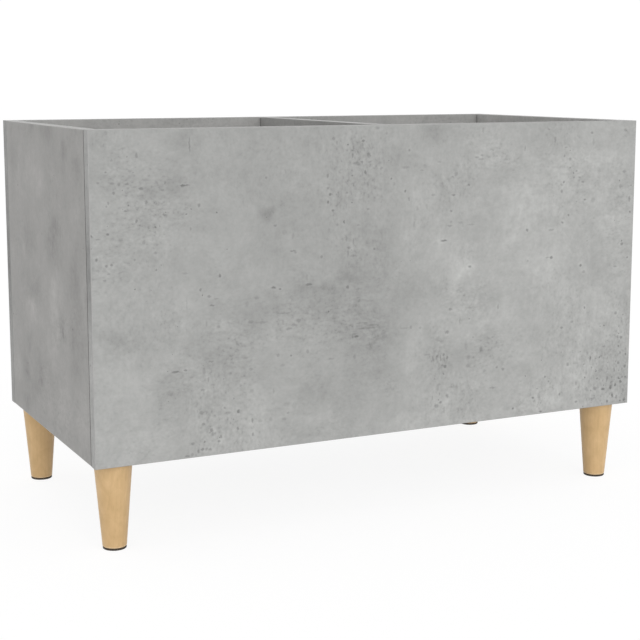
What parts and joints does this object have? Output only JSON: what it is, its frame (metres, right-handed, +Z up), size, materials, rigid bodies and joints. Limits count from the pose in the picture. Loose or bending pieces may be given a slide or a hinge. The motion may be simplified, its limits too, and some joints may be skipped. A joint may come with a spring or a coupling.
{
  "type": "record cabinet",
  "caption": "Open-topped record cabinet of concrete-effect board with a centre divider, on tapered round wooden legs.",
  "frame": {"origin": "on the floor, under the middle of the cabinet", "axes": "+X to the cabinet's right, +Y to its back, +Z up"},
  "size_m": [0.745, 0.38, 0.4835],
  "materials": {
    "concrete_board": "matt concrete effect",
    "board_edging": "matt",
    "leg_wood": "clear satin lacquer",
    "pad_rubber": "matt",
    "cam_zinc": "cast zinc",
    "fastener_steel": "zinc plated",
    "dowel_wood": "raw, fluted"
  },
  "bodies": {
    "root": {"front_panel": "concrete_board", "back_panel": "concrete_board", "left_side_panel": "concrete_board", "right_side_panel": "concrete_board", "bottom_panel": "concrete_board", "divider_panel": "concrete_board", "front_panel_edging": "board_edging", "back_panel_edging": "board_edging", "left_side_edging": "board_edging", "right_side_edging": "board_edging", "divider_edging": "board_edging", "leg_front_left": "leg_wood", "leg_front_right": "leg_wood", "leg_back_left": "leg_wood", "leg_back_right": "leg_wood", "foot_pad_front_left": "pad_rubber", "foot_pad_front_right": "pad_rubber", "foot_pad_back_left": "pad_rubber", "foot_pad_back_right": "pad_rubber", "cams_left_side_panel": "cam_zinc", "cams_right_side_panel": "cam_zinc", "cams_divider_panel": "cam_zinc", "cams_bottom_panel": "cam_zinc", "cam_bolts_front_panel": "fastener_steel", "cam_bolts_back_panel": "fastener_steel", "cam_bolts_left_side_panel": "fastener_steel", "cam_bolts_right_side_panel": "fastener_steel", "leg_bolt_front_left": "fastener_steel", "leg_bolt_front_right": "fastener_steel", "leg_bolt_back_left": "fastener_steel", "leg_bolt_back_right": "fastener_steel", "leg_insert_front_left": "fastener_steel", "leg_insert_front_right": "fastener_steel", "leg_insert_back_left": "fastener_steel", "leg_insert_back_right": "fastener_steel", "divider_screws": "fastener_steel", "dowels_front_panel": "dowel_wood", "dowels_back_panel": "dowel_wood", "dowels_left_side_panel": "dowel_wood", "dowels_right_side_panel": "dowel_wood", "dowels_bottom_panel": "dowel_wood"}
  },
  "joints": []
}
